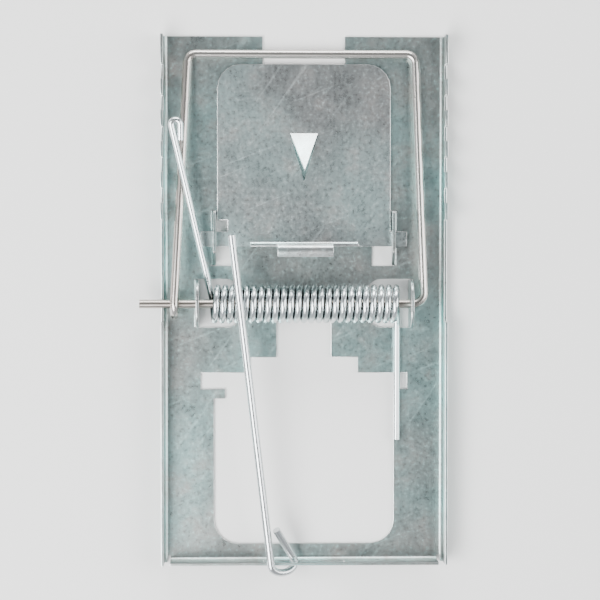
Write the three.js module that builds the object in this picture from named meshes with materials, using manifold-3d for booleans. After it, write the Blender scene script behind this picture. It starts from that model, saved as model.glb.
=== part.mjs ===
// A spring mouse trap pressed from one sheet: base plate, bait treadle, striker, torsion spring, lock bar.
// Millimetres. +X right, +Y towards the bait end, +Z up. The plate's underside is at z = 0.
import * as THREE from "three";
import { mergeVertices } from "three/addons/utils/BufferGeometryUtils.js";
import Module from "manifold-3d";

const wasm = await Module();
wasm.setup();

// Sheet and wire stock
const SHEET = 0.5;
const STRIKER_WIRE = 1.6;
const SPRING_WIRE = 1.15;
const LOCK_WIRE = 1.4;

// Clearances
const REST_GAP = 0.3;
const TREADLE_GAP = 0.45;
const AXLE_CLEARANCE = 0.1;
const SHEAR_GAP = 0.15;
const SLIDE_GAP = 0.25;

// Base plate
const BASE_LENGTH = 98;
const BASE_WIDTH = 53;
const FLANGE_HEIGHT = 5;
const FLANGE_BEND = 0.8;
const CORNER_RELIEF = 0.6;
const FINGER_NOTCH_WIDTH = 15.2;
const FINGER_NOTCH_DEPTH = 5.6;

// Teeth along the front half of each side flange
const TOOTH_PITCH = 5.7;
const VALLEY_WIDTH = 2.7;
const VALLEY_HEIGHT = 2.6;
const VALLEY_COUNT = 5;
const FIRST_VALLEY_FROM_FRONT = 6.8;
const LOW_STRETCH_FRONT = 14.9;
const LOW_STRETCH_REAR = -4;

// Window left by the treadle's blank
const WINDOW_HALF_WIDTH = 16.75;
const WINDOW_REAR_WEB = 3.5;
const WINDOW_CORNER = 4.4;
const WINDOW_SHOULDER_Y = -13.6;
const WINDOW_NECK_Y = -10.7;
const WINDOW_NECK_HALF_WIDTH = 10.1;
const WINDOW_EAR_REACH = 2.5;
const WINDOW_EAR_WIDTH = 3;
const WINDOW_TAB_REACH = 2.1;
const WINDOW_TAB_WIDTH = 1.8;
const TONGUE_SLOT_FRONT_Y = -3.2;

// Axle and its two lugs
const AXLE_Y = -0.6;
const COIL_ABOVE_SHEET = 0.4;
const AXLE_LUG_X = 19.7;
const AXLE_LUG_WIDTH = 8.8;
const AXLE_LUG_ABOVE_AXLE = 3.9;
const AXLE_LUG_CORNER = 3.2;
const LUG_BEND = 0.5;
const LUG_ROOT = 2;

// Treadle and its two lugs
const PIVOT_Y = 11.4;
const TREADLE_LUG_X = 16.6;
const TREADLE_LUG_REAR_Y = 6.5;
const TREADLE_LUG_FRONT_Y = 16.6;
const TREADLE_LUG_HEIGHT = 3.8;
const TREADLE_LUG_SLOPE = 2.4;
const TREADLE_LUG_HOLE_REACH = 3.9;
const FINGER_WIDTH = 2.8;
const FINGER_REACH = 2.6;
const TREADLE_FRONT_Y = 43.8;
const TREADLE_CORNER = 4.4;
const TREADLE_NOTCH_LENGTH = 2.1;
const TREADLE_NOTCH_DEPTH = 1.9;
const RISER_WIDTH = 20;
const RISER_HEIGHT = 5.3;
const CATCH_WIDTH = 10.1;
const CATCH_HEIGHT = 10.8;
const CATCH_LIP = 2.1;
const CATCH_LIP_DROP = 0.9;
const TREADLE_BEND = 0.5;
const SPIKE_ROOT_Y = 30.7;
const SPIKE_LENGTH = 8.6;
const SPIKE_WIDTH = 5.2;
const SPIKE_ANGLE = 35;

// Striker
const AXLE_OVERHANG = 3.9;
const BAR_FROM_FRONT = 3.4;
const BAR_RIGHT_FROM_SIDE = 5.9;
const BAR_LEFT_FROM_SIDE = 4.9;
const RIGHT_ARM_FROM_SIDE = 4.4;
const STRIKER_EYE_FROM_SIDE = 2.6;
const BAR_BEND = 1.7;
const AXLE_BEND = 2;
const STRIKER_EYE_GAP = 0.45;
const STRIKER_EYE_TURN = 235;

// Torsion spring
const COIL_OUTSIDE = 7.2;
const COIL_TURNS = 25;
const COIL_RIGHT_X = 17.3;
const COIL_LEFT_X = -17;
const FIXED_LEG_END_Y = -26;
const MOVING_LEG_RISE = 10.8;
const MOVING_LEG_END_X = -24.6;
const MOVING_LEG_END_Y = 33;
const HOOK_BEND = 0.8;
const HOOK_RETURN = 3.6;

// Lock bar and the slot it hinges in
const LOCK_SHANK_X = -6.2;
const LOCK_RETURN_X = -1.8;
const LOCK_LOOP_REACH = 1.7;
const LOCK_ABOVE_HINGE = 1.45;
const LOCK_TIP_X = -13.4;
const LOCK_TIP_Y = 12;
const LOCK_EYE_LENGTH = 6.6;
const LOCK_RETURN_STRAIGHT = 0.5;
const SLOT_WIDTH = 15;
const SLOT_LOW_Z = 1.6;
const SLOT_HIGH_Z = 3.8;

// Facets
const WIRE_SIDES = 10;
const SPRING_SIDES = 6;
const COIL_STEPS = 12;
const ARC_STEP = 20;
const HOLE_SIDES = 16;
const MARGIN = 1;

// Values that follow from the ones above
const REAR_Y = -BASE_LENGTH / 2;
const FRONT_Y = BASE_LENGTH / 2;
const SIDE_X = BASE_WIDTH / 2;
const MID_SHEET = SHEET / 2;
const TREADLE_LOW_Z = SHEET + TREADLE_GAP;
const TREADLE_MID_Z = TREADLE_LOW_Z + MID_SHEET;
const TREADLE_HALF_WIDTH = TREADLE_LUG_X - MID_SHEET - SLIDE_GAP;
const TREADLE_REAR_Y = PIVOT_Y - FINGER_WIDTH / 2;
const AXLE_Z = SHEET + COIL_ABOVE_SHEET + COIL_OUTSIDE / 2;
const AXLE_LUG_HEIGHT = AXLE_Z + AXLE_LUG_ABOVE_AXLE;
const STRIKER_REACH = FRONT_Y - BAR_FROM_FRONT - AXLE_Y;
const BAR_Z = SHEET + REST_GAP + STRIKER_WIRE / 2;
const COIL_RADIUS = (COIL_OUTSIDE - SPRING_WIRE) / 2;
const HINGE_Y = REAR_Y + MID_SHEET;
const HINGE_Z = (SLOT_HIGH_Z + FLANGE_HEIGHT) / 2;

const X_TO_Y_TO_Z = new THREE.Matrix4().makeBasis(
  new THREE.Vector3(0, 1, 0),
  new THREE.Vector3(0, 0, 1),
  new THREE.Vector3(1, 0, 0),
);

const radians = THREE.MathUtils.degToRad;

function corner(x, y, z = 0, radius = 0) {
  return { at: new THREE.Vector3(x, y, z), radius };
}

// The points of a path through corners, each one rounded to its own radius.
function roundedPath(corners) {
  const points = [];
  corners.forEach(({ at, radius }, i) => {
    if (radius === 0 || i === 0 || i === corners.length - 1) {
      points.push(at.clone());
      return;
    }
    const incoming = at.clone().sub(corners[i - 1].at).normalize();
    const outgoing = corners[i + 1].at.clone().sub(at).normalize();
    const turn = incoming.angleTo(outgoing);
    const start = at.clone().addScaledVector(incoming, -radius * Math.tan(turn / 2));
    const inward = outgoing.clone().addScaledVector(incoming, -incoming.dot(outgoing)).normalize();
    const centre = start.clone().addScaledVector(inward, radius);
    const steps = Math.max(2, Math.ceil(turn / radians(ARC_STEP)));
    for (let k = 0; k <= steps; k += 1) {
      const angle = (turn * k) / steps;
      points.push(
        centre
          .clone()
          .addScaledVector(inward, -radius * Math.cos(angle))
          .addScaledVector(incoming, radius * Math.sin(angle)),
      );
    }
  });
  return points;
}

// A curve through listed points, stepped point by point so that a sweep keeps every one of them.
class WireRoute extends THREE.Curve {
  constructor(points) {
    super();
    this.points = points;
    this.spans = points.length - 1;
  }

  getPoint(t) {
    const place = Math.min(t * this.spans, this.spans - 1e-9);
    const i = Math.floor(place);
    return this.points[i].clone().lerp(this.points[i + 1], place - i);
  }

  getTangent(t) {
    const i = Math.round(t * this.spans);
    const tangent = new THREE.Vector3();
    if (i > 0) tangent.add(this.points[i].clone().sub(this.points[i - 1]).normalize());
    if (i < this.spans) tangent.add(this.points[i + 1].clone().sub(this.points[i]).normalize());
    return tangent.normalize();
  }

  getUtoTmapping(u) {
    return u;
  }
}

function polygon(radius, sides) {
  const points = [];
  for (let k = 0; k < sides; k += 1) {
    const angle = (2 * Math.PI * k) / sides;
    points.push(new THREE.Vector2(radius * Math.cos(angle), radius * Math.sin(angle)));
  }
  return new THREE.Shape(points);
}

function wire(points, diameter, sides) {
  const route = new WireRoute(points);
  return new THREE.ExtrudeGeometry(polygon(diameter / 2, sides), {
    steps: route.spans,
    extrudePath: route,
  });
}

function solid(geometry) {
  geometry.deleteAttribute("normal");
  geometry.deleteAttribute("uv");
  const merged = mergeVertices(geometry, 1e-4);
  return new wasm.Manifold(
    new wasm.Mesh({
      numProp: 3,
      vertProperties: merged.attributes.position.array,
      triVerts: new Uint32Array(merged.index.array),
    }),
  );
}

function geometryOf(manifold) {
  const mesh = manifold.getMesh();
  const geometry = new THREE.BufferGeometry();
  geometry.setAttribute("position", new THREE.BufferAttribute(mesh.vertProperties, mesh.numProp));
  geometry.setIndex(new THREE.BufferAttribute(mesh.triVerts, 1));
  return geometry;
}

function shapeOf(points) {
  return new THREE.Shape(points.map((p) => new THREE.Vector2(p.x, p.y)));
}

// Prisms whose outline lies in XY, YZ or XZ.
function prismZ(points, low, high) {
  const made = new THREE.ExtrudeGeometry(shapeOf(points), { depth: high - low, bevelEnabled: false });
  return solid(made.translate(0, 0, low));
}

function prismX(points, low, high) {
  const made = new THREE.ExtrudeGeometry(shapeOf(points), { depth: high - low, bevelEnabled: false });
  return solid(made.applyMatrix4(X_TO_Y_TO_Z).translate(low, 0, 0));
}

function prismY(points, low, high) {
  const made = new THREE.ExtrudeGeometry(shapeOf(points), { depth: high - low, bevelEnabled: false });
  return solid(made.rotateX(Math.PI / 2).translate(0, high, 0));
}

function box(low, high) {
  const made = new THREE.BoxGeometry(high[0] - low[0], high[1] - low[1], high[2] - low[2]);
  return solid(made.translate((low[0] + high[0]) / 2, (low[1] + high[1]) / 2, (low[2] + high[2]) / 2));
}

// The outline of a sheet whose middle surface follows the given corners.
function sheetOutline(corners) {
  const middle = roundedPath(corners);
  const offset = middle.map((point, i) => {
    const before = i > 0 ? point.clone().sub(middle[i - 1]).normalize() : null;
    const after = i < middle.length - 1 ? middle[i + 1].clone().sub(point).normalize() : null;
    const along = (before ?? after).clone().add(after ?? before).normalize();
    const halfTurn = Math.acos(Math.min(1, along.dot(after ?? before)));
    return new THREE.Vector3(-along.y, along.x, 0).multiplyScalar(MID_SHEET / Math.cos(halfTurn));
  });
  const right = middle.map((point, i) => point.clone().sub(offset[i]));
  const left = middle.map((point, i) => point.clone().add(offset[i]));
  return [...right, ...left.reverse()];
}

// ---- Base plate ----

function channel() {
  const wall = SIDE_X - MID_SHEET;
  const bend = FLANGE_BEND + MID_SHEET;
  const outline = sheetOutline([
    corner(-wall, FLANGE_HEIGHT),
    corner(-wall, MID_SHEET, 0, bend),
    corner(wall, MID_SHEET, 0, bend),
    corner(wall, FLANGE_HEIGHT),
  ]);
  return prismY(outline, REAR_Y, FRONT_Y);
}

function rearFlange() {
  const bend = FLANGE_BEND + MID_SHEET;
  const foldY = HINGE_Y + bend;
  const outline = sheetOutline([
    corner(foldY + MARGIN, MID_SHEET),
    corner(HINGE_Y, MID_SHEET, 0, bend),
    corner(HINGE_Y, FLANGE_HEIGHT),
  ]);
  const halfWidth = SIDE_X - SHEET - FLANGE_BEND - CORNER_RELIEF / 2;
  const cutHalfWidth = halfWidth + CORNER_RELIEF;
  return {
    piece: prismX(outline, -halfWidth, halfWidth),
    cut: box([-cutHalfWidth, REAR_Y - MARGIN, -MARGIN], [cutHalfWidth, foldY, SHEET + MARGIN]),
  };
}

function windowCut() {
  const side = WINDOW_HALF_WIDTH;
  const rear = REAR_Y + WINDOW_REAR_WEB;
  const ear = side + WINDOW_EAR_REACH;
  const earRear = WINDOW_SHOULDER_Y - WINDOW_EAR_WIDTH;
  const neck = WINDOW_NECK_HALF_WIDTH;
  const tongue = CATCH_WIDTH / 2;
  const tab = side - WINDOW_TAB_REACH;
  const tabRear = earRear - WINDOW_TAB_WIDTH;
  const outline = roundedPath([
    corner(-side, tabRear),
    corner(-side, rear, 0, WINDOW_CORNER),
    corner(side, rear, 0, WINDOW_CORNER),
    corner(side, earRear),
    corner(ear, earRear),
    corner(ear, WINDOW_SHOULDER_Y),
    corner(neck, WINDOW_SHOULDER_Y),
    corner(neck, WINDOW_NECK_Y),
    corner(tongue, WINDOW_NECK_Y),
    corner(tongue, TONGUE_SLOT_FRONT_Y),
    corner(-tongue, TONGUE_SLOT_FRONT_Y),
    corner(-tongue, WINDOW_NECK_Y),
    corner(-neck, WINDOW_NECK_Y),
    corner(-neck, WINDOW_SHOULDER_Y),
    corner(-ear, WINDOW_SHOULDER_Y),
    corner(-ear, earRear),
    corner(-tab, earRear),
    corner(-tab, tabRear),
  ]);
  return prismZ(outline, -MARGIN, SHEET + MARGIN);
}

function fingerNotch() {
  const half = FINGER_NOTCH_WIDTH / 2;
  return box([-half, FRONT_Y - FINGER_NOTCH_DEPTH, -MARGIN], [half, FRONT_Y + MARGIN, SHEET + MARGIN]);
}

function flangeValleys() {
  const valleys = [];
  const reach = SIDE_X + MARGIN;
  for (let k = 0; k < VALLEY_COUNT; k += 1) {
    const y = FRONT_Y - FIRST_VALLEY_FROM_FRONT - k * TOOTH_PITCH;
    valleys.push([y - VALLEY_WIDTH / 2, y + VALLEY_WIDTH / 2]);
  }
  valleys.push([LOW_STRETCH_REAR, LOW_STRETCH_FRONT]);
  return valleys.map(([rear, front]) =>
    box([-reach, rear, VALLEY_HEIGHT], [reach, front, FLANGE_HEIGHT + MARGIN]),
  );
}

function hingeSlot() {
  const half = SLOT_WIDTH / 2;
  return box([-half, REAR_Y - MARGIN, SLOT_LOW_Z], [half, HINGE_Y + MARGIN, SLOT_HIGH_Z]);
}

// A lug sheared on three sides and folded up about a line along Y; side is -1 for left, 1 for right.
function foldedLug(side, x, rear, front, outline) {
  const bend = LUG_BEND + MID_SHEET;
  const height = Math.max(...outline.map((p) => p.y));
  const strip = prismY(
    sheetOutline([
      corner(side * (x + LUG_ROOT), MID_SHEET),
      corner(side * x, MID_SHEET, 0, bend),
      corner(side * x, height),
    ]).reverse(),
    rear,
    front,
  );
  const reach = [side * (x - MARGIN), side * (x + LUG_ROOT + MARGIN)];
  return strip.intersect(prismX(outline, Math.min(...reach), Math.max(...reach)));
}

function lugHole(side, x, rear, front, reach, cornerRadius) {
  const outer = side * (x + LUG_BEND + MID_SHEET);
  const inner = side * (x - reach);
  const outline = roundedPath([
    corner(outer, rear - SHEAR_GAP),
    corner(inner, rear - SHEAR_GAP, 0, cornerRadius),
    corner(inner, front + SHEAR_GAP, 0, cornerRadius),
    corner(outer, front + SHEAR_GAP),
  ]);
  return prismZ(side < 0 ? outline : outline.reverse(), -MARGIN, SHEET + MARGIN);
}

function axleLug(side) {
  const rear = AXLE_Y - AXLE_LUG_WIDTH / 2;
  const front = AXLE_Y + AXLE_LUG_WIDTH / 2;
  const outline = roundedPath([
    corner(rear, -MARGIN),
    corner(front, -MARGIN),
    corner(front, AXLE_LUG_HEIGHT, 0, AXLE_LUG_CORNER),
    corner(rear, AXLE_LUG_HEIGHT, 0, AXLE_LUG_CORNER),
    corner(rear, -MARGIN),
  ]).slice(0, -1);
  const bore = polygon((STRIKER_WIRE / 2 + AXLE_CLEARANCE) / Math.cos(Math.PI / HOLE_SIDES), HOLE_SIDES);
  const boreOutline = bore.getPoints().map((p) => new THREE.Vector2(p.x + AXLE_Y, p.y + AXLE_Z));
  const lug = foldedLug(side, AXLE_LUG_X, rear, front, outline);
  return {
    lug: lug.subtract(prismX(boreOutline, -SIDE_X, SIDE_X)),
    hole: lugHole(side, AXLE_LUG_X, rear, front, AXLE_LUG_HEIGHT - MID_SHEET, AXLE_LUG_CORNER),
  };
}

function treadleLug(side) {
  const rear = TREADLE_LUG_REAR_Y;
  const front = TREADLE_LUG_FRONT_Y;
  const outline = roundedPath([
    corner(rear, -MARGIN),
    corner(front, -MARGIN),
    corner(front, TREADLE_LUG_HEIGHT, 0, TREADLE_BEND),
    corner(rear + TREADLE_LUG_SLOPE, TREADLE_LUG_HEIGHT, 0, TREADLE_BEND),
    corner(rear, SHEET),
  ]);
  const halfSlot = FINGER_WIDTH / 2 + SLIDE_GAP;
  const slotReach = side * (TREADLE_LUG_X + LUG_ROOT);
  const slot = box(
    [Math.min(0, slotReach), PIVOT_Y - halfSlot, SHEET],
    [Math.max(0, slotReach), PIVOT_Y + halfSlot, 2 * TREADLE_MID_Z - SHEET + SLIDE_GAP],
  );
  return {
    lug: foldedLug(side, TREADLE_LUG_X, rear, front, outline).subtract(slot),
    hole: lugHole(side, TREADLE_LUG_X, rear, front, TREADLE_LUG_HOLE_REACH, SHEAR_GAP),
  };
}

function basePlate() {
  const flange = rearFlange();
  const lugs = [axleLug(-1), axleLug(1), treadleLug(-1), treadleLug(1)];
  const cuts = [flange.cut, windowCut(), fingerNotch(), ...flangeValleys(), ...lugs.map((l) => l.hole)];
  let plate = channel();
  cuts.forEach((cut) => {
    plate = plate.subtract(cut);
  });
  plate = plate.add(flange.piece).subtract(hingeSlot());
  lugs.forEach(({ lug }) => {
    plate = plate.add(lug);
  });
  return geometryOf(plate);
}

// ---- Treadle ----

function treadlePlate() {
  const side = TREADLE_HALF_WIDTH;
  const rear = TREADLE_REAR_Y;
  const fingerFront = rear + FINGER_WIDTH;
  const tip = side + FINGER_REACH + SHEET;
  const outline = roundedPath([
    corner(-tip, rear),
    corner(tip, rear),
    corner(tip, fingerFront),
    corner(side, fingerFront),
    corner(side, TREADLE_FRONT_Y, 0, TREADLE_CORNER),
    corner(-side, TREADLE_FRONT_Y, 0, TREADLE_CORNER),
    corner(-side, fingerFront + TREADLE_NOTCH_LENGTH),
    corner(-side + TREADLE_NOTCH_DEPTH, fingerFront + TREADLE_NOTCH_LENGTH),
    corner(-side + TREADLE_NOTCH_DEPTH, fingerFront),
    corner(-tip, fingerFront),
  ]);
  return prismZ(outline, TREADLE_LOW_Z, TREADLE_LOW_Z + SHEET);
}

function riser() {
  const half = RISER_WIDTH / 2;
  const bend = TREADLE_BEND + MID_SHEET;
  const wallY = TREADLE_REAR_Y + MID_SHEET;
  const outline = sheetOutline([
    corner(wallY + bend + MARGIN, TREADLE_MID_Z),
    corner(wallY, TREADLE_MID_Z, 0, bend),
    corner(wallY, RISER_HEIGHT),
  ]);
  return {
    piece: prismX(outline.reverse(), -half, half),
    cut: box([-half, TREADLE_REAR_Y - MARGIN, 0], [half, wallY + bend, RISER_HEIGHT]),
  };
}

function catchTongue() {
  const half = CATCH_WIDTH / 2;
  const wallY = TREADLE_REAR_Y + MID_SHEET;
  const lipBend = 2 * MID_SHEET + TREADLE_BEND;
  const lipTurn = Math.PI / 2 + Math.atan2(CATCH_LIP_DROP, CATCH_LIP);
  const peakZ = CATCH_HEIGHT - MID_SHEET + lipBend * (Math.tan(lipTurn / 2) - 1);
  const outline = sheetOutline([
    corner(wallY, RISER_HEIGHT - MARGIN),
    corner(wallY, peakZ, 0, lipBend),
    corner(wallY - CATCH_LIP, peakZ - CATCH_LIP_DROP),
  ]);
  return prismX(outline, -half, half);
}

// The bait spike: a point sheared from the treadle and bent up about its root.
function baitSpike() {
  const half = SPIKE_WIDTH / 2;
  const outline = [
    corner(-half, SPIKE_ROOT_Y).at,
    corner(0, SPIKE_ROOT_Y - SPIKE_LENGTH).at,
    corner(half, SPIKE_ROOT_Y).at,
  ];
  const flat = new THREE.ExtrudeGeometry(
    shapeOf(outline.map((p) => new THREE.Vector2(p.x, p.y - SPIKE_ROOT_Y))),
    { depth: SHEET, bevelEnabled: false },
  );
  flat.rotateX(-radians(SPIKE_ANGLE));
  flat.translate(0, SPIKE_ROOT_Y + MID_SHEET / 2, TREADLE_LOW_Z);
  const hole = prismZ(outline, 0, TREADLE_LOW_Z + 2 * SHEET);
  return { piece: solid(flat), hole };
}

function treadle() {
  const fold = riser();
  const spike = baitSpike();
  const plate = treadlePlate().subtract(fold.cut).subtract(spike.hole);
  return geometryOf(plate.add(fold.piece).add(catchTongue()).add(spike.piece));
}

// ---- Striker ----

// The point, seen along X, where a line from the bar runs onto the top of the eye.
function eyeTangent(eyeRadius) {
  const across = STRIKER_REACH;
  const down = AXLE_Z - BAR_Z;
  const lean = Math.asin(eyeRadius / Math.hypot(across, down));
  return Math.PI / 2 - (lean + Math.atan2(down, across));
}

function striker() {
  const barY = AXLE_Y + STRIKER_REACH;
  const eyeRadius = STRIKER_WIRE + STRIKER_EYE_GAP;
  const start = eyeTangent(eyeRadius);
  const eyeX = STRIKER_EYE_FROM_SIDE - SIDE_X;
  const points = roundedPath([
    corner(-SIDE_X - AXLE_OVERHANG, AXLE_Y, AXLE_Z),
    corner(SIDE_X - RIGHT_ARM_FROM_SIDE, AXLE_Y, AXLE_Z, AXLE_BEND),
    corner(SIDE_X - BAR_RIGHT_FROM_SIDE, barY, BAR_Z, BAR_BEND),
    corner(BAR_LEFT_FROM_SIDE - SIDE_X, barY, BAR_Z, BAR_BEND),
    corner(eyeX, AXLE_Y + eyeRadius * Math.cos(start), AXLE_Z + eyeRadius * Math.sin(start)),
  ]);
  const steps = Math.ceil(STRIKER_EYE_TURN / ARC_STEP);
  for (let k = 1; k <= steps; k += 1) {
    const angle = start + (radians(STRIKER_EYE_TURN) * k) / steps;
    points.push(
      new THREE.Vector3(
        eyeX,
        AXLE_Y + eyeRadius * Math.cos(angle),
        AXLE_Z + eyeRadius * Math.sin(angle),
      ),
    );
  }
  return wire(points, STRIKER_WIRE, WIRE_SIDES);
}

// ---- Torsion spring ----

function torsionSpring() {
  const coilLength = COIL_RIGHT_X - COIL_LEFT_X;
  const turnTotal = COIL_TURNS * 360 + MOVING_LEG_RISE;
  const steps = Math.round((turnTotal / 360) * COIL_STEPS);
  const points = [];
  points.push(new THREE.Vector3(COIL_RIGHT_X, FIXED_LEG_END_Y, AXLE_Z - COIL_RADIUS));
  for (let k = 0; k <= steps; k += 1) {
    const angle = radians(-90 + (turnTotal * k) / steps);
    points.push(
      new THREE.Vector3(
        COIL_RIGHT_X - (coilLength * k) / steps,
        AXLE_Y + COIL_RADIUS * Math.cos(angle),
        AXLE_Z + COIL_RADIUS * Math.sin(angle),
      ),
    );
  }
  const leaving = points[points.length - 1];
  const rise = Math.tan(radians(MOVING_LEG_RISE));
  const legZ = (y) => leaving.z + (y - leaving.y) * rise;
  const hookRight = MOVING_LEG_END_X + 2 * HOOK_BEND + SLIDE_GAP;
  const hookEndY = MOVING_LEG_END_Y - HOOK_RETURN;
  const leg = roundedPath([
    corner(leaving.x, leaving.y, leaving.z),
    corner(MOVING_LEG_END_X, MOVING_LEG_END_Y, legZ(MOVING_LEG_END_Y), HOOK_BEND),
    corner(hookRight, MOVING_LEG_END_Y, legZ(MOVING_LEG_END_Y), HOOK_BEND),
    corner(hookRight, hookEndY, legZ(hookEndY)),
  ]);
  return wire([...points, ...leg.slice(1)], SPRING_WIRE, SPRING_SIDES);
}

// ---- Lock bar ----

function lockBar() {
  const shankZ = HINGE_Z + LOCK_ABOVE_HINGE;
  const overCoilZ = AXLE_Z + COIL_OUTSIDE / 2 + REST_GAP + LOCK_WIRE / 2;
  const slope = (overCoilZ - shankZ) / (AXLE_Y - HINGE_Y);
  const yaw = (LOCK_TIP_X - LOCK_SHANK_X) / (LOCK_TIP_Y - HINGE_Y);
  const onShank = (y) =>
    new THREE.Vector3(LOCK_SHANK_X + yaw * (y - HINGE_Y), y, shankZ + slope * (y - HINGE_Y));
  const points = [onShank(LOCK_TIP_Y)];
  const middleX = (LOCK_SHANK_X + LOCK_RETURN_X) / 2;
  const halfX = (LOCK_RETURN_X - LOCK_SHANK_X) / 2;
  const steps = Math.ceil(180 / ARC_STEP);
  for (let k = 0; k <= steps; k += 1) {
    const angle = (Math.PI * k) / steps;
    points.push(
      new THREE.Vector3(
        middleX - halfX * Math.cos(angle),
        HINGE_Y - LOCK_LOOP_REACH * Math.sin(angle),
        HINGE_Z + LOCK_ABOVE_HINGE * Math.cos(angle),
      ),
    );
  }
  const beside = onShank(HINGE_Y + LOCK_EYE_LENGTH);
  const closing = roundedPath([
    corner(LOCK_RETURN_X, HINGE_Y, HINGE_Z - LOCK_ABOVE_HINGE),
    corner(LOCK_RETURN_X, HINGE_Y + LOCK_RETURN_STRAIGHT, HINGE_Z - LOCK_ABOVE_HINGE),
    corner(beside.x + LOCK_WIRE + REST_GAP, beside.y, beside.z),
  ]);
  return wire([...points, ...closing.slice(1)], LOCK_WIRE, WIRE_SIDES);
}

// ---- Assembly ----

function piece(name, geometry, color, roughness) {
  const material = new THREE.MeshStandardMaterial({ color, roughness, metalness: 1 });
  const mesh = new THREE.Mesh(geometry, material);
  mesh.name = name;
  return mesh;
}

const group = new THREE.Group();
group.name = "mouse_trap";
group.add(piece("base_plate", basePlate(), 0x93a09e, 0.38));
group.add(piece("treadle", treadle(), 0x9aa3a2, 0.36));
group.add(piece("striker", striker(), 0xa7aaa8, 0.28));
group.add(piece("torsion_spring", torsionSpring(), 0xb4b9b8, 0.24));
group.add(piece("lock_bar", lockBar(), 0x8f989a, 0.3));

const extent = new THREE.Box3().setFromObject(group, true);
const middle = extent.getCenter(new THREE.Vector3());
group.position.set(-middle.x, -middle.y, -extent.min.z);

export default group;
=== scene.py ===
"""A spring mouse trap: the looks of its five pieces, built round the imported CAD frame, in metres."""

import logging
import math
from dataclasses import dataclass
from enum import Enum, IntEnum

import bmesh
import bpy
from mathutils import Matrix, Vector

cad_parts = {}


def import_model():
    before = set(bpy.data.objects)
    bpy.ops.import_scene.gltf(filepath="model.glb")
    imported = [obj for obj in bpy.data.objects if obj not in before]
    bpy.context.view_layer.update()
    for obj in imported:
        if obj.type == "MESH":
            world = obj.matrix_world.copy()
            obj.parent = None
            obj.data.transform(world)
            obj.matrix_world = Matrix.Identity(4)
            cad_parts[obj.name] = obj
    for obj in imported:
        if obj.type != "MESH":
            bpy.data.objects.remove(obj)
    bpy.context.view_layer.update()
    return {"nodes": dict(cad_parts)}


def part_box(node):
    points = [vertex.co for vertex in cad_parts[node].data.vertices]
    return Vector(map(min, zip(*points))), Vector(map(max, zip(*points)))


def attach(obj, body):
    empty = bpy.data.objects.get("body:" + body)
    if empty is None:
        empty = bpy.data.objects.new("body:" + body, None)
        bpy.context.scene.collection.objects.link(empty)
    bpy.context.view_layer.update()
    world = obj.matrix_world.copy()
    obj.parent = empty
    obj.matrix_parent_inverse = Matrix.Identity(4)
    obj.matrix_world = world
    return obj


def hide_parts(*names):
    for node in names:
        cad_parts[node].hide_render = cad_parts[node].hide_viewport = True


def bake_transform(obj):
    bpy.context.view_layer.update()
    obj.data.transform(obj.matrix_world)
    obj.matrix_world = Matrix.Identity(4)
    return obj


MM = 0.001
BEND_STEP = math.radians(7.5)
LEAST_BEND_STEPS = 3
ROUNDING_SEGMENTS = 2
WIRE_COURSE = "wire_course"
LOG = logging.getLogger("mouse_trap")
Colour = tuple[float, float, float]
Point = tuple[float, float, float]


class Body(Enum):
    """The rigid bodies of the trap that a piece can ride on."""

    BASE = "base"
    STRIKER = "striker"
    TREADLE = "treadle"
    LOCK_BAR = "lock_bar"


class SheetSlot(IntEnum):
    """The order of a pressed sheet's materials."""

    FACE = 0
    EDGE = 1
    WALL = 2


# ---------------------------------------------------------------- shader maths


class Socket:
    """A shader node's output that can be used in ordinary arithmetic."""

    def __init__(self, graph: "Graph", output: bpy.types.NodeSocket | None) -> None:
        """Wraps one output socket of a node in the given graph, or none for a node that has no output."""
        self.graph = graph
        self.output = output

    def root(self) -> "Socket":
        """The square root."""
        return self._math("SQRT", self, 0.0)

    def _math(self, operation: str, first: object, second: object) -> "Socket":
        """Adds a Math node for one operation on two values."""
        return self.graph.node("ShaderNodeMath", {"operation": operation}, {0: first, 1: second})

    def __add__(self, other: object) -> "Socket":
        """self + other."""
        return self._math("ADD", self, other)

    def __radd__(self, other: object) -> "Socket":
        """other + self."""
        return self._math("ADD", other, self)

    def __sub__(self, other: object) -> "Socket":
        """self - other."""
        return self._math("SUBTRACT", self, other)

    def __rsub__(self, other: object) -> "Socket":
        """other - self."""
        return self._math("SUBTRACT", other, self)

    def __mul__(self, other: object) -> "Socket":
        """self * other."""
        return self._math("MULTIPLY", self, other)

    def __rmul__(self, other: object) -> "Socket":
        """other * self."""
        return self._math("MULTIPLY", other, self)


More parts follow.
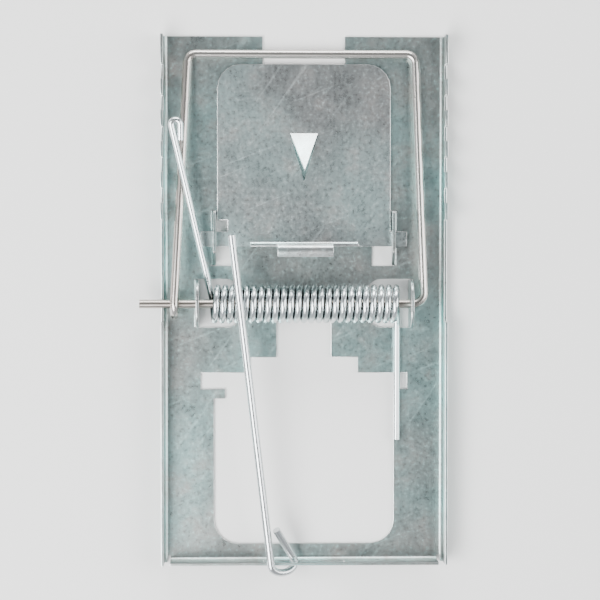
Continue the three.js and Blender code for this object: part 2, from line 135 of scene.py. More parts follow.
class Graph:
    """The node tree of one material, or of the world."""

    def __init__(self, owner: bpy.types.Material | bpy.types.World) -> None:
        """Empties the owner's tree, so that every node in it is one made here."""
        owner.use_nodes = True
        self.tree = owner.node_tree
        self.tree.nodes.clear()

    def node(
        self,
        kind: str,
        settings: dict | None = None,
        inputs: dict | None = None,
        out: object = 0,
    ) -> Socket:
        """Adds a node.

        Args:
            kind: The node's Blender type.
            settings: Its own properties, set before its sockets.
            inputs: Values, or Sockets to link, by input name or number.
            out: The output to return, by name or number.

        Returns:
            That output, ready for arithmetic, or an empty Socket if the node has no output.
        """
        made = self.tree.nodes.new(kind)
        for name, value in (settings or {}).items():
            setattr(made, name, value)
        for name, value in (inputs or {}).items():
            if isinstance(value, Socket):
                self.tree.links.new(value.output, made.inputs[name])
            else:
                made.inputs[name].default_value = value
        return Socket(self, made.outputs[out] if made.outputs else None)

    def coordinates(
        self,
        scale: Point = (1.0, 1.0, 1.0),
        turn: Point = (0.0, 0.0, 0.0),
        shift: Point = (0.0, 0.0, 0.0),
    ) -> Socket:
        """Object coordinates, scaled, turned and moved.

        Args:
            scale: The stretch along each axis.
            turn: The rotation about each axis, in radians.
            shift: The move along each axis, in metres.

        Returns:
            The vector to feed a texture.
        """
        place = self.node("ShaderNodeTexCoord", out="Object")
        inputs = {"Vector": place, "Scale": scale, "Rotation": turn, "Location": shift}
        return self.node("ShaderNodeMapping", inputs=inputs, out="Vector")

    def stretched(self, vector: Socket, scale: Point) -> Socket:
        """A vector scaled by its own factor along each axis."""
        return self.node("ShaderNodeMapping", inputs={"Vector": vector, "Scale": scale}, out="Vector")

    def noise(
        self, vector: Socket, scale: float = 1.0, detail: float = 3.0, roughness: float = 0.55
    ) -> Socket:
        """A noise value between 0 and 1 at the given scale, per metre."""
        inputs = {"Vector": vector, "Scale": scale, "Detail": detail, "Roughness": roughness}
        return self.node("ShaderNodeTexNoise", inputs=inputs)

    def cells(self, vector: Socket, scale: float) -> Socket:
        """A grey value that is even over each small crystal and changes from one to the next."""
        colour = self.node("ShaderNodeTexVoronoi", inputs={"Vector": vector, "Scale": scale}, out="Color")
        return self.node("ShaderNodeSeparateColor", inputs={0: colour})

    def ramp(self, value: Socket, low: float, high: float) -> Socket:
        """A soft mask that is 0 at low and 1 at high; low may be the greater of the two."""
        inputs = {"Value": value, "From Min": low, "From Max": high}
        return self.node("ShaderNodeMapRange", {"interpolation_type": "SMOOTHSTEP"}, inputs)

    def mix(self, mask: object, first: object, second: object) -> Socket:
        """Mixes two colours by a mask: the first where it is 0, the second where it is 1."""
        inputs = {"Factor": mask, 6: first, 7: second}
        return self.node("ShaderNodeMix", {"data_type": "RGBA"}, inputs, out=2)

    def bump(self, height: Socket, strength: float, distance: float) -> Socket:
        """Turns a height into a normal."""
        inputs = {"Height": height, "Strength": strength, "Distance": distance}
        return self.node("ShaderNodeBump", inputs=inputs, out="Normal")

    def surface(self, settings: dict) -> None:
        """Ends the tree in a Principled shader with the given sockets."""
        shader = self.node("ShaderNodeBsdfPrincipled", inputs=settings, out="BSDF")
        self.node("ShaderNodeOutputMaterial", inputs={"Surface": shader})


# ---------------------------------------------------------------- finishes


def shaded(colour: Colour, factor: float) -> Colour:
    """A colour made lighter or darker by a factor."""
    return tuple(min(1.0, factor * part) for part in colour)


def opaque(colour: Colour) -> tuple[float, float, float, float]:
    """A colour with full alpha."""
    return (*colour, 1.0)


@dataclass(frozen=True)
class SheetZinc:
    """Rolled sheet with passivated zinc plating, in cloudy grey and sea-green with umber bloom and scuffs.

    Scales and stretches are per metre, and turns are in radians about the sheet's normal.
    """

    name: str
    slot: str
    grey: Colour
    green: Colour
    umber: Colour
    roughness: float = 0.33
    cloud_place: Point = (0.0, 0.0, 0.0)
    cloud_scale: float = 34.0
    blotch_scale: float = 190.0
    speck_scale: float = 1500.0
    spangle_scale: float = 1150.0
    rolling_stretch: Point = (2600.0, 60.0, 2600.0)
    scuff_stretch: Point = (1900.0, 42.0, 900.0)
    scuff_turn: float = 0.62
    scratch_stretch: Point = (60.0, 2400.0, 900.0)
    scratch_turn: float = -0.38
    bloom_share: float = 0.6
    pale_speck_share: float = 0.55
    dark_speck_share: float = 0.5
    spangle_share: float = 0.16
    worn_share: float = 0.12
    relief: float = 0.34
    relief_depth: float = 0.03 * MM

    def build(self) -> bpy.types.Material:
        """Makes the material.

        Returns:
            The finished material.
        """
        material = bpy.data.materials.new(self.name)
        graph = Graph(material)
        place = graph.coordinates()
        clouds = graph.noise(graph.coordinates(shift=self.cloud_place), self.cloud_scale, 2.0, 0.5)
        blotches = graph.noise(place, self.blotch_scale, 5.0, 0.66)
        specks = graph.noise(place, self.speck_scale, 4.0, 0.7)
        spangle = graph.cells(place, self.spangle_scale)
        rolling = graph.noise(graph.coordinates(self.rolling_stretch), roughness=0.65)
        scuffs = self._hairlines(graph, self.scuff_stretch, self.scuff_turn)
        worn = scuffs + self._hairlines(graph, self.scratch_stretch, self.scratch_turn)
        bloom = graph.ramp(blotches, 0.47, 0.72) * self.bloom_share
        pale_specks = graph.ramp(specks, 0.53, 0.72) * self.pale_speck_share
        dark_specks = graph.ramp(specks, 0.47, 0.3) * self.dark_speck_share
        crystals = graph.ramp(spangle, 0.55, 0.95) * self.spangle_share
        colour = graph.mix(graph.ramp(clouds, 0.36, 0.62), opaque(self.grey), opaque(self.green))
        colour = graph.mix(bloom, colour, opaque(self.umber))
        colour = graph.mix(pale_specks + worn * self.worn_share, colour, opaque(shaded(self.green, 1.32)))
        colour = graph.mix(dark_specks, colour, opaque(shaded(self.umber, 0.6)))
        colour = graph.mix(crystals, colour, opaque(shaded(self.grey, 1.4)))
        uneven = (blotches - 0.5) * 0.26 + (specks - 0.5) * 0.16 + (rolling - 0.5) * 0.05
        height = rolling * 0.16 + specks * 0.6 + blotches * 0.9 + spangle * 0.25 - worn * 0.1
        graph.surface(
            {
                "Base Color": colour,
                "Metallic": 1.0,
                "Roughness": self.roughness + uneven + worn * 0.04,
                "Normal": graph.bump(height, self.relief, self.relief_depth),
            }
        )
        return material

    @staticmethod
    def _hairlines(graph: Graph, stretch: Point, turn: float) -> Socket:
        """A mask of fine straight scratches.

        Args:
            graph: The tree to add to.
            stretch: How a noise is stretched along each axis to make lines of it.
            turn: The lines' turn about the sheet's normal, in radians.

        Returns:
            The mask, 1 in a scratch.
        """
        lines = graph.stretched(graph.coordinates(turn=(0.0, 0.0, turn)), stretch)
        return graph.ramp(graph.noise(lines, detail=0.0), 0.70, 0.84)


@dataclass(frozen=True)
class ShearedEdgeAndHighlight:
    """The bright, slightly torn metal along a punched or rounded-over edge, made brighter still as a painted
    highlight along the edge. Scales are per metre.
    """

    name: str
    colour: Colour
    tear_scale: float = 3200.0
    worn_scale: float = 320.0
    dulling: float = 0.72
    roughness: float = 0.24
    relief: float = 0.25
    relief_depth: float = 0.02 * MM

    def build(self) -> bpy.types.Material:
        """Makes the material.

        Returns:
            The finished material.
        """
        material = bpy.data.materials.new(self.name)
        graph = Graph(material)
        tear = graph.noise(graph.coordinates((1.0, 1.0, 0.2)), self.tear_scale, 2.0)
        worn = graph.ramp(graph.noise(graph.coordinates(), self.worn_scale), 0.35, 0.7)
        dull = shaded(self.colour, self.dulling)
        graph.surface(
            {
                "Base Color": graph.mix(worn, opaque(dull), opaque(self.colour)),
                "Metallic": 1.0,
                "Roughness": self.roughness + tear * 0.16,
                "Normal": graph.bump(tear, self.relief, self.relief_depth),
            }
        )
        return material


@dataclass(frozen=True)
class FracturedWallAndShade:
    """The dull, grainy metal in the sheet's thickness, where it broke under the punch, made darker still as
    painted shade in that thickness. Scales are per metre.
    """

    name: str
    colour: Colour
    grain_scale: float = 5200.0
    bloom_scale: float = 420.0
    dulling: float = 0.62
    roughness: float = 0.42
    relief: float = 0.4
    relief_depth: float = 0.02 * MM

    def build(self) -> bpy.types.Material:
        """Makes the material.

        Returns:
            The finished material.
        """
        material = bpy.data.materials.new(self.name)
        graph = Graph(material)
        grain = graph.noise(graph.coordinates((1.0, 1.0, 0.35)), self.grain_scale, 3.0, 0.7)
        bloom = graph.ramp(graph.noise(graph.coordinates(), self.bloom_scale), 0.35, 0.7)
        dull = shaded(self.colour, self.dulling)
        graph.surface(
            {
                "Base Color": graph.mix(bloom, opaque(self.colour), opaque(dull)),
                "Metallic": 1.0,
                "Roughness": self.roughness + grain * 0.16,
                "Normal": graph.bump(grain, self.relief, self.relief_depth),
            }
        )
        return material


@dataclass(frozen=True)
class CoilCore:
    """The axis of a coil, across the trap, and the mean radius of its turns, in metres."""

    y: float
    z: float
    radius: float

    def inside(self, graph: Graph, soft: float) -> Socket:
        """A mask of the wire's inner side, towards the coil's axis, where painted shade darkens the coil
        between its turns.

        Args:
            graph: The tree to add to.
            soft: How far the mask takes to change, in metres.

        Returns:
            The mask, 1 towards the axis.
        """
        place = graph.node("ShaderNodeTexCoord", out="Object")
        across = graph.node("ShaderNodeSeparateXYZ", inputs={0: place}, out="Y") - self.y
        up = graph.node("ShaderNodeSeparateXYZ", inputs={0: place}, out="Z") - self.z
        return graph.ramp((across * across + up * up).root(), self.radius + soft / 2, self.radius - soft)


@dataclass(frozen=True)
class DrawnWire:
    """Round wire with bright plating: lines drawn along its length, dull bands where it was handled, and on a
    coil painted shade on the inner side of its turns.

    Scales and stretches are per metre, and core_soft is in metres.
    """

    name: str
    slot: str
    bright: Colour
    dull: Colour
    roughness: float = 0.2
    drawn_stretch: Point = (24.0, 4200.0, 4200.0)
    band_scale: float = 170.0
    speck_scale: float = 2600.0
    band_share: float = 0.7
    speck_share: float = 0.3
    inner_shade_share: float = 0.85
    core_soft: float = 0.3 * MM
    inner_shade_darkening: float = 0.32
    relief: float = 0.16
    relief_depth: float = 0.02 * MM

    def build(self, core: CoilCore | None = None) -> bpy.types.Material:
        """Makes the material; it reads the wire's own length and girth attribute.

        Args:
            core: The coil that the wire is wound to, if it is; the inner side of its turns gets painted shade.

        Returns:
            The finished material.
        """
        material = bpy.data.materials.new(self.name)
        graph = Graph(material)
        course = graph.node("ShaderNodeAttribute", {"attribute_name": WIRE_COURSE}, out="Vector")
        lines = graph.noise(graph.stretched(course, self.drawn_stretch), detail=2.0)
        bands = graph.noise(course, self.band_scale, 4.0, 0.6)
        specks = graph.noise(graph.coordinates(), self.speck_scale, 2.0)
        handled = graph.ramp(bands, 0.45, 0.7) * self.band_share
        mask = handled + graph.ramp(specks, 0.58, 0.8) * self.speck_share
        colour = graph.mix(mask, opaque(self.bright), opaque(self.dull))
        if core:
            # painted shade: the inner side of the coil's turns is darkened, so that the coil looks shaded
            # between its turns
            painted_inner_shade = core.inside(graph, self.core_soft) * self.inner_shade_share
            colour = graph.mix(painted_inner_shade, colour, opaque(shaded(self.dull, self.inner_shade_darkening)))
        graph.surface(
            {
                "Base Color": colour,
                "Metallic": 1.0,
                "Roughness": self.roughness + bands * 0.12 + (lines - 0.5) * 0.14,
                "Normal": graph.bump(lines * 0.6 + specks * 0.25, self.relief, self.relief_depth),
            }
        )
        return material


BASE_ZINC = SheetZinc("base_zinc", "base_zinc", (0.38, 0.42, 0.41), (0.40, 0.60, 0.59), (0.35, 0.31, 0.29))
# painted sheen: the treadle is the same zinc as the base, given lighter colours and its pale cloud placed
# mid-treadle to stand in for the sheen on its plane
TREADLE_ZINC_WITH_SHEEN = SheetZinc(
    "treadle_zinc",
    "treadle_zinc",
    (0.50, 0.53, 0.53),
    (0.64, 0.83, 0.82),
    (0.47, 0.43, 0.41),
    roughness=0.31,
    cloud_place=(0.11, 0.03, 0.0),
)
# the edge colour is bright bare metal made brighter still as a painted highlight
EDGE_ZINC = ShearedEdgeAndHighlight("sheared_edge_and_highlight", (0.90, 0.92, 0.91))
# the wall colour is dull fractured metal made darker still as painted shade
WALL_ZINC = FracturedWallAndShade("fractured_wall_and_shade", (0.46, 0.48, 0.47))
STRIKER_WIRE = DrawnWire("striker_wire", "striker_wire", (0.60, 0.58, 0.55), (0.34, 0.29, 0.25))
SPRING_WIRE = DrawnWire(
    "spring_wire", "spring_wire", (0.74, 0.79, 0.80), (0.48, 0.53, 0.54), roughness=0.16
)
LOCK_WIRE = DrawnWire("lock_wire", "lock_wire", (0.62, 0.65, 0.66), (0.40, 0.43, 0.43))


# ---------------------------------------------------------------- modelling helpers


def deselect_all() -> None:
    """Leaves object mode with nothing selected."""
    if bpy.context.object and bpy.context.object.mode != "OBJECT":
        bpy.ops.object.mode_set(mode="OBJECT")
    bpy.ops.object.select_all(action="DESELECT")


def activate(piece: bpy.types.Object) -> None:
    """Makes one piece the only one selected, and the active one.

    Args:
        piece: The piece to work on next.
    """
    deselect_all()
    piece.select_set(True)
    bpy.context.view_layer.objects.active = piece


def apply_modifiers(piece: bpy.types.Object) -> None:
    """Applies every modifier of a piece, in order.

    Args:
        piece: The piece, which is left active.
    """
    activate(piece)
    for name in [modifier.name for modifier in piece.modifiers]:
        bpy.ops.object.modifier_apply(modifier=name)


def dress(piece: bpy.types.Object, materials: list[bpy.types.Material]) -> None:
    """Gives a piece its material slots.

    Args:
        piece: The piece, whose old slots go.
        materials: Its materials, in order.
    """
    piece.data.materials.clear()
    for material in materials:
        piece.data.materials.append(material)


def report(piece: bpy.types.Object) -> None:
    """Logs a finished piece and how many faces it has."""
    LOG.info("%s: %d faces", piece.name, len(piece.data.polygons))


def corner(x: float, y: float, z: float, radius: float = 0.0) -> tuple[Vector, float]:
    """A corner of a wire's route and the radius that it is bent to, in millimetres."""
    return Vector((x, y, z)), radius


def bent_route(corners: list[tuple[Vector, float]]) -> list[Vector]:
    """The middle line of a wire bent at its corners.

    Args:
        corners: The corners with their bend radii.

    Returns:
        The points of the route.
    """
    points: list[Vector] = []
    for i, (at, radius) in enumerate(corners):
        if radius == 0.0 or i in (0, len(corners) - 1):
            points.append(at.copy())
            continue
        incoming = (at - corners[i - 1][0]).normalized()
        outgoing = (corners[i + 1][0] - at).normalized()
        turn = incoming.angle(outgoing)
        start = at - incoming * (radius * math.tan(turn / 2))
        inward = (outgoing - incoming * incoming.dot(outgoing)).normalized()
        centre = start + inward * radius
        steps = max(LEAST_BEND_STEPS, math.ceil(turn / BEND_STEP))
        for k in range(steps + 1):
            angle = turn * k / steps
            back = inward * (radius * math.cos(angle))
            points.append(centre - back + incoming * (radius * math.sin(angle)))
    return points


@dataclass(frozen=True)
class PlateFrame:
    """The base plate's own axes: millimetres from its middle, with z = 0 at its underside."""

    middle: Point

    @classmethod
    def of_base_plate(cls) -> "PlateFrame":
        """Reads the plate's middle from its CAD node."""
        low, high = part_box("base_plate")
        return cls(((low[0] + high[0]) / 2, (low[1] + high[1]) / 2, low[2]))

    def to_row(self, point: Vector) -> Vector:
        """The row frame's place, in metres, of a point in plate millimetres."""
        return Vector(self.middle) + point * MM


@dataclass
class PressedSheet:
    """A pressed sheet piece: a clean, edge-rounded copy of its CAD node. Lengths are in millimetres."""

    node: str
    body: Body
    finish: SheetZinc
    thickness: float = 0.5
    edge_round: float = 0.12
    join_gap: float = 0.002
    flat_angle: float = math.radians(0.6)
    crease_angle: float = math.radians(32)
    wall_width_share: float = 0.54
    least_sharp_share: float = 0.2
    room_share: float = 0.2

    def build(
        self, solid: bpy.types.Object, edge: bpy.types.Material, wall: bpy.types.Material
    ) -> bpy.types.Object:
        """Copies the CAD mesh, joins its loose triangles, and rounds its sheared edges.

        Args:
            solid: The CAD object of the node.
            edge: The material of the rounded edges, bright metal with a painted highlight.
            wall: The material of the sheet's thickness between them, dull metal with painted shade.

        Returns:
            The finished piece, riding on its body.
        """
        piece = bpy.data.objects.new(f"{self.node}_pressed", solid.data.copy())
        bpy.context.scene.collection.objects.link(piece)
        activate(piece)
        bpy.ops.object.mode_set(mode="EDIT")
        bpy.ops.mesh.select_all(action="SELECT")
        bpy.ops.mesh.remove_doubles(threshold=self.join_gap * MM)
        bpy.ops.mesh.customdata_custom_splitnormals_clear()
        bpy.ops.mesh.dissolve_limited(angle_limit=self.flat_angle)
        bpy.ops.object.mode_set(mode="OBJECT")
        dress(piece, [self.finish.build(), edge, wall])
        self._mark_walls(piece)
        self._weigh_edges(piece)
        self._round_edges(piece)
        activate(piece)
        bpy.ops.object.shade_smooth_by_angle(angle=self.crease_angle)
        weighting = piece.modifiers.new("flat_faces", "WEIGHTED_NORMAL")
        weighting.keep_sharp = True
        apply_modifiers(piece)
        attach(piece, self.body.value)
        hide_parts(self.node)
        report(piece)
        return piece

    def _mark_walls(self, piece: bpy.types.Object) -> None:
        """Gives the wall material to the narrow faces that have a sharp edge on both long sides.

        Args:
            piece: The piece, before its edges are rounded.
        """
        shell = bmesh.new()
        shell.from_mesh(piece.data)
        for face in shell.faces:
            around = face.calc_perimeter()
            sharp = sum(e.calc_length() for e in face.edges if e.calc_face_angle(0.0) > self.crease_angle)
            narrow = 2 * face.calc_area() / around < self.wall_width_share * self.thickness * MM
            cut = narrow and sharp / around > self.least_sharp_share
            face.material_index = SheetSlot.WALL if cut else SheetSlot.FACE
        shell.to_mesh(piece.data)
        shell.free()

    def _weigh_edges(self, piece: bpy.types.Object) -> None:
        """Sets how much each sharp edge is rounded: less beside a short one, so that no two roundings meet.

        Args:
            piece: The piece, before its edges are rounded.
        """
        shell = bmesh.new()
        shell.from_mesh(piece.data)
        weight = shell.edges.layers.float.new("bevel_weight_edge")
        for edge in shell.edges:
            if edge.calc_face_angle(0.0) > self.crease_angle:
                shortest = min(e.calc_length() for v in edge.verts for e in v.link_edges)
                edge[weight] = min(1.0, self.room_share * shortest / (self.edge_round * MM))
        shell.to_mesh(piece.data)
        shell.free()

    def _round_edges(self, piece: bpy.types.Object) -> None:
        """Rounds every edge where the sheet was cut, and gives the rounding its bright material.

        Args:
            piece: The piece, with the weights of its edges set.
        """
        rounding = piece.modifiers.new("rounding", "BEVEL")
        rounding.width = self.edge_round * MM
        rounding.segments = ROUNDING_SEGMENTS
        rounding.limit_method = "WEIGHT"
        rounding.use_clamp_overlap = False
        rounding.material = SheetSlot.EDGE
        apply_modifiers(piece)


@dataclass
class BentWire:
    """A wire bent along a route, with its two ends cut and slightly rounded. Lengths are in millimetres."""

    name: str
    node: str
    diameter: float
    finish: DrawnWire
    plate: PlateFrame
    sides: int = 20
    end_round: float = 0.16
    core: CoilCore | None = None
    join_gap: float = 0.0002
    crease_angle: float = math.radians(40)

    def sweep(self, route: list[Vector]) -> bpy.types.Object:
        """Sweeps the wire's round section along a route in plate millimetres.

        Args:
            route: The points of the wire's middle line.

        Returns:
            The wire as a mesh object, dressed, with its course along and round it stored on its points.
        """
        points = [self.plate.to_row(p) for p in route]
        curve = bpy.data.curves.new(self.name, "CURVE")
        curve.dimensions = "3D"
        curve.bevel_depth = self.diameter / 2 * MM
        curve.bevel_resolution = self.sides // 2 - 2  # the section gets two sides a step, and four more
        curve.use_fill_caps = True
        spline = curve.splines.new("POLY")
        spline.points.add(len(points) - 1)
        for target, point in zip(spline.points, points):
            target.co = (*point, 1.0)
        piece = bpy.data.objects.new(self.name, curve)
        bpy.context.scene.collection.objects.link(piece)
        activate(piece)
        bpy.ops.object.convert(target="MESH")
        piece = bpy.context.object
        self._store_course(piece, points)
        self._round_ends(piece)
        activate(piece)
        bpy.ops.object.shade_smooth_by_angle(angle=self.crease_angle)
        dress(piece, [self.finish.build(self.core)])
        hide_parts(self.node)
        return piece

    def _store_course(self, piece: bpy.types.Object, points: list[Vector]) -> None:
        """Stores at each point of the wire how far along and how far round it lies, in metres.

        Args:
            piece: The wire as swept, ring after ring.
            points: The middle of each ring.
        """
        run = [0.0]
        for before, after in zip(points, points[1:]):
            run.append(run[-1] + (after - before).length)
        vertices = piece.data.vertices
        ring = len(vertices) // len(points)
        girth = self.diameter * MM / 2
        attribute = piece.data.attributes.new(WIRE_COURSE, "FLOAT_VECTOR", "POINT")
        for vertex in vertices:
            station = min(vertex.index // ring, len(points) - 1)
            angle = 2 * math.pi * (vertex.index % ring) / ring
            section = (girth * math.cos(angle), girth * math.sin(angle))
            attribute.data[vertex.index].vector = (run[station], *section)

    def _round_ends(self, piece: bpy.types.Object) -> None:
        """Rounds over the rim of each cut end, the only faces with more than four corners.

        Args:
            piece: The wire as swept.
        """
        activate(piece)
        bpy.ops.object.mode_set(mode="EDIT")
        bpy.ops.mesh.select_all(action="SELECT")
        bpy.ops.mesh.remove_doubles(threshold=self.join_gap * MM)
        bpy.ops.mesh.normals_make_consistent(inside=False)
        bpy.ops.mesh.select_mode(type="FACE")
        bpy.ops.mesh.select_all(action="DESELECT")
        shell = bmesh.from_edit_mesh(piece.data)
        for face in shell.faces:
            face.select = len(face.verts) > 4
        bmesh.update_edit_mesh(piece.data)
        bpy.ops.mesh.select_mode(type="EDGE")
        bpy.ops.mesh.bevel(offset=self.end_round * MM, segments=ROUNDING_SEGMENTS, affect="EDGES")
        bpy.ops.mesh.select_all(action="SELECT")
        bpy.ops.mesh.normals_make_consistent(inside=False)
        bpy.ops.object.mode_set(mode="OBJECT")


# ---------------------------------------------------------------- the wires


@dataclass
class Axle:
    """Where the striker's axle and the spring's coil lie, in plate millimetres."""

    y: float = -0.6
    z: float = 4.5
    overhang_x: float = -30.4


@dataclass
class Striker:
    """The striker: axle, right arm, front bar, left arm and an eye round its own axle, all one wire."""

    plate: PlateFrame
    axle: Axle
    diameter: float = 1.6
    bar_y: float = 45.6
    bar_z: float = 1.6
    bar_right_x: float = 20.6
    bar_left_x: float = -21.6
    bar_bend: float = 1.7
    right_arm_x: float = 22.1
    axle_bend: float = 2.0
    eye_x: float = -23.9
    eye_radius: float = 2.05
    eye_turn: float = math.radians(235)
    eye_steps: int = 32

    def route(self) -> list[Vector]:
        """The striker's middle line, in plate millimetres.

        Returns:
            Its points, from the axle's free end to the end of the eye.
        """
        across = self.bar_y - self.axle.y
        down = self.axle.z - self.bar_z
        lean = math.asin(self.eye_radius / math.hypot(across, down))
        start = math.pi / 2 - (lean + math.atan2(down, across))
        points = bent_route(
            [
                corner(self.axle.overhang_x, self.axle.y, self.axle.z),
                corner(self.right_arm_x, self.axle.y, self.axle.z, self.axle_bend),
                corner(self.bar_right_x, self.bar_y, self.bar_z, self.bar_bend),
                corner(self.bar_left_x, self.bar_y, self.bar_z, self.bar_bend),
                corner(*self._on_eye(start)),
            ]
        )
        for k in range(1, self.eye_steps + 1):
            points.append(Vector(self._on_eye(start + self.eye_turn * k / self.eye_steps)))
        return points

    def _on_eye(self, angle: float) -> Point:
        """A point of the eye.

        Args:
            angle: Its angle about the axle, from the treadle's side upwards.

        Returns:
            The point, in plate millimetres.
        """
        return (
            self.eye_x,
            self.axle.y + self.eye_radius * math.cos(angle),
            self.axle.z + self.eye_radius * math.sin(angle),
        )

    def build(self) -> bpy.types.Object:
        """Makes the striker.

        Returns:
            The finished piece, riding on its body.
        """
        wire = BentWire("striker_wire_form", "striker", self.diameter, STRIKER_WIRE, self.plate)
        piece = wire.sweep(self.route())
        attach(piece, Body.STRIKER.value)
        report(piece)
        return piece


@dataclass
class TorsionSpring:
    """The torsion spring: a fixed leg, the coil round the axle, and a leg hooked to the striker's left arm."""

    plate: PlateFrame
    axle: Axle
    diameter: float = 1.15
    coil_outside: float = 7.2
    turns: int = 25
    steps_per_turn: int = 40
    right_x: float = 17.3
    left_x: float = -17.0
    fixed_leg_y: float = -26.0
    rise: float = math.radians(10.8)
    leg_end_x: float = -24.6
    leg_end_y: float = 33.0
    hook_bend: float = 0.8
    hook_gap: float = 0.25
    hook_return: float = 3.6

    def route(self) -> list[Vector]:
        """The spring's middle line, in plate millimetres.

        Returns:
            Its points, from the fixed leg's end to the hook's end.
        """
        radius = (self.coil_outside - self.diameter) / 2
        turned = self.turns * 2 * math.pi + self.rise
        steps = round(turned / (2 * math.pi) * self.steps_per_turn)
        points = [Vector((self.right_x, self.fixed_leg_y, self.axle.z - radius))]
        for k in range(steps + 1):
            angle = -math.pi / 2 + turned * k / steps
            x = self.right_x + (self.left_x - self.right_x) * k / steps
            y = self.axle.y + radius * math.cos(angle)
            points.append(Vector((x, y, self.axle.z + radius * math.sin(angle))))
        leaving = points[-1]
        slope = math.tan(self.rise)
        hook_x = self.leg_end_x + 2 * self.hook_bend + self.hook_gap
        hook_y = self.leg_end_y - self.hook_return
        top_z = leaving.z + (self.leg_end_y - leaving.y) * slope
        hook_z = leaving.z + (hook_y - leaving.y) * slope
        leg = bent_route(
            [
                corner(*leaving),
                corner(self.leg_end_x, self.leg_end_y, top_z, self.hook_bend),
                corner(hook_x, self.leg_end_y, top_z, self.hook_bend),
                corner(hook_x, hook_y, hook_z),
            ]
        )
        return points + leg[1:]

    def build(self) -> bpy.types.Object:
        """Makes the spring.

        Returns:
            The finished piece.
        """
        start = self.plate.to_row(Vector((self.right_x, self.axle.y, self.axle.z)))
        wire = BentWire(
            "torsion_spring_form",
            "torsion_spring",
            self.diameter,
            SPRING_WIRE,
            self.plate,
            sides=14,
            end_round=0.1,
            core=CoilCore(start.y, start.z, (self.coil_outside - self.diameter) / 2 * MM),
        )
        piece = wire.sweep(self.route())
        end = self.plate.to_row(Vector((self.left_x, self.axle.y, self.axle.z)))
        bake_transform(piece)
        report(piece)
        return piece


@dataclass
class LockBar:
    """The lock bar: a straight shank and an eye through the slot in the rear flange."""

    plate: PlateFrame
    diameter: float = 1.4
    hinge_y: float = -48.75
    hinge_z: float = 4.4
    shank_x: float = -6.2
    return_x: float = -1.8
    loop_reach: float = 1.64
    above_hinge: float = 1.45
    tip: tuple[float, float] = (-13.4, 12.0)
    over_coil: tuple[float, float] = (-0.6, 9.1)
    eye_length: float = 6.6
    return_straight: float = 0.5
    gap: float = 0.3
    loop_steps: int = 28

    def _on_shank(self, y: float) -> Vector:
        """A point of the shank's middle line.

        Args:
            y: Its distance along the plate.

        Returns:
            The point, in plate millimetres.
        """
        yaw = (self.tip[0] - self.shank_x) / (self.tip[1] - self.hinge_y)
        low_z = self.hinge_z + self.above_hinge
        slope = (self.over_coil[1] - low_z) / (self.over_coil[0] - self.hinge_y)
        return Vector((self.shank_x + yaw * (y - self.hinge_y), y, low_z + slope * (y - self.hinge_y)))

    def route(self) -> list[Vector]:
        """The lock bar's middle line, in plate millimetres.

        Returns:
            Its points, from its tip round the eye to the wire's other end.
        """
        middle_x = (self.shank_x + self.return_x) / 2
        half_x = (self.return_x - self.shank_x) / 2
        points = [self._on_shank(self.tip[1])]
        for k in range(self.loop_steps + 1):
            angle = math.pi * k / self.loop_steps
            y = self.hinge_y - self.loop_reach * math.sin(angle)
            z = self.hinge_z + self.above_hinge * math.cos(angle)
            points.append(Vector((middle_x - half_x * math.cos(angle), y, z)))
        beside = self._on_shank(self.hinge_y + self.eye_length)
        below = self.hinge_z - self.above_hinge
        points.append(Vector((self.return_x, self.hinge_y + self.return_straight, below)))
        points.append(beside + Vector((self.diameter + self.gap, 0.0, 0.0)))
        return points

    def build(self) -> bpy.types.Object:
        """Makes the lock bar.

        Returns:
            The finished piece, riding on its body.
        """
        wire = BentWire("lock_bar_form", "lock_bar", self.diameter, LOCK_WIRE, self.plate)
        piece = wire.sweep(self.route())
        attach(piece, Body.LOCK_BAR.value)
        report(piece)
        return piece


# ---------------------------------------------------------------- studio


@dataclass(frozen=True)
class Softbox:
    """One soft rectangular light that faces the trap, in plate millimetres and watts."""

    name: str
    place: Point
    size: tuple[float, float]
    power: float

    def build(self, plate: PlateFrame) -> None:
        """Adds the light.

        Args:
            plate: The frame that its place is given in.
        """
        data = bpy.data.lights.new(self.name, "AREA")
        data.shape = "RECTANGLE"
        data.size = self.size[0] * MM
        data.size_y = self.size[1] * MM
        data.energy = self.power
        light = bpy.data.objects.new(self.name, data)
        bpy.context.scene.collection.objects.link(light)
        light.location = plate.to_row(Vector(self.place))
        aim = plate.to_row(Vector((0.0, 0.0, 0.0))) - light.location
        light.rotation_euler = aim.to_track_quat("-Z", "Y").to_euler()


@dataclass(frozen=True)
class Surround:
    """The light from all round: bright near the horizon and darker overhead."""

    horizon: Colour = (0.82, 0.84, 0.87)
    overhead: Colour = (0.27, 0.285, 0.295)
    strength: float = 0.8
    starts: float = 0.45
    ends: float = 0.95

    def build(self) -> None:
        """Makes the world and puts it in the scene."""
        world = bpy.data.worlds.new("surround")
        graph = Graph(world)
        direction = graph.node("ShaderNodeTexCoord", out="Generated")
        height = graph.node("ShaderNodeSeparateXYZ", inputs={0: direction}, out="Z")
        mask = graph.ramp(height, self.starts, self.ends)
        shade = graph.mix(mask, opaque(self.horizon), opaque(self.overhead))
        inputs = {"Color": shade, "Strength": self.strength}
        background = graph.node("ShaderNodeBackground", inputs=inputs, out="Background")
        graph.node("ShaderNodeOutputWorld", inputs={"Surface": background})
        bpy.context.scene.world = world


SOFTBOXES = (
    Softbox("key", (-225.0, -140.0, 340.0), (440.0, 220.0), 4.6),
    Softbox("fill", (330.0, 20.0, 260.0), (260.0, 380.0), 1.8),
    Softbox("front", (0.0, 430.0, 170.0), (420.0, 160.0), 2.6),
)


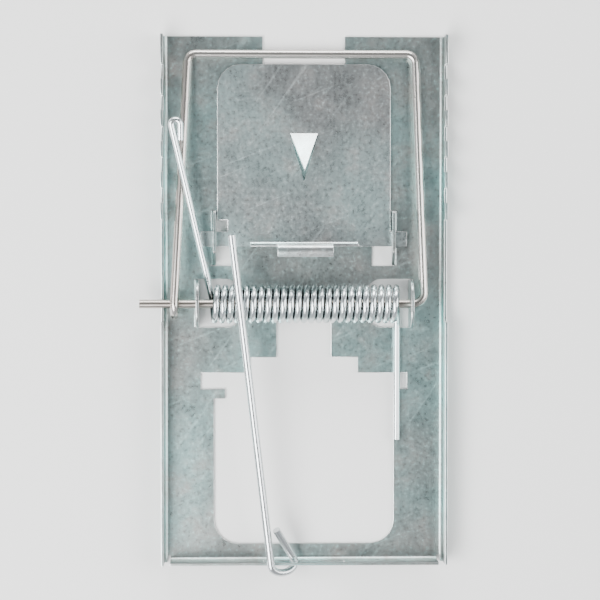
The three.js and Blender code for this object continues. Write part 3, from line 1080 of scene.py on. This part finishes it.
@dataclass
class Studio:
    """The floor, the lights and the camera, which are not part of the trap.

    The floor is in metres and the camera in plate millimetres; the view's width is at the plate's height.
    """

    plate: PlateFrame
    floor_size: float = 3.0
    floor_colours: tuple[Colour, Colour] = ((0.80, 0.80, 0.79), (0.83, 0.83, 0.82))
    floor_mottle: float = 9.0
    floor_roughness: float = 0.8
    camera_height: float = 350.0
    camera_offset: tuple[float, float] = (-11.5, 9.0)
    aim: tuple[float, float] = (-0.7, 0.0)
    view_width: float = 112.0
    sensor: float = 36.0
    clip_start: float = 0.01

    def build(self) -> None:
        """Builds the floor, the lights and the camera."""
        self._floor()
        Surround().build()
        for softbox in SOFTBOXES:
            softbox.build(self.plate)
        self._camera()

    def _floor(self) -> None:
        """A plain pale floor under the trap."""
        deselect_all()
        bpy.ops.mesh.primitive_plane_add(size=self.floor_size, location=(0.0, 0.0, 0.0))
        floor = bpy.context.object
        floor.name = "floor"
        material = bpy.data.materials.new("pale_floor")
        graph = Graph(material)
        shade = graph.noise(graph.coordinates(), self.floor_mottle, 2.0)
        first, second = self.floor_colours
        colour = graph.mix(shade, opaque(first), opaque(second))
        graph.surface({"Base Color": colour, "Roughness": self.floor_roughness})
        dress(floor, [material])

    def _camera(self) -> None:
        """A camera almost straight above the trap, a little to one side, aimed at its middle."""
        data = bpy.data.cameras.new("camera")
        data.sensor_width = self.sensor
        data.lens = self.sensor * self.camera_height / self.view_width
        data.clip_start = self.clip_start
        camera = bpy.data.objects.new("camera", data)
        bpy.context.scene.collection.objects.link(camera)
        camera.location = self.plate.to_row(Vector((*self.camera_offset, self.camera_height)))
        back = (camera.location - self.plate.to_row(Vector((*self.aim, 0.0)))).normalized()
        right = Vector((0.0, 1.0, 0.0)).cross(back).normalized()
        camera.rotation_euler = Matrix((right, back.cross(right), back)).transposed().to_euler()
        bpy.context.scene.camera = camera


# ---------------------------------------------------------------- main


def main() -> None:
    """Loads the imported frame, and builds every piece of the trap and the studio."""
    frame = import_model()
    nodes = frame["nodes"]
    plate = PlateFrame.of_base_plate()
    axle = Axle()
    edge = EDGE_ZINC.build()
    wall = WALL_ZINC.build()
    PressedSheet("base_plate", Body.BASE, BASE_ZINC).build(nodes["base_plate"], edge, wall)
    PressedSheet("treadle", Body.TREADLE, TREADLE_ZINC_WITH_SHEEN).build(nodes["treadle"], edge, wall)
    Striker(plate, axle).build()
    TorsionSpring(plate, axle).build()
    LockBar(plate).build()
    Studio(plate).build()


if __name__ == "__main__":
    logging.basicConfig(level=logging.INFO, format="%(message)s")
    main()
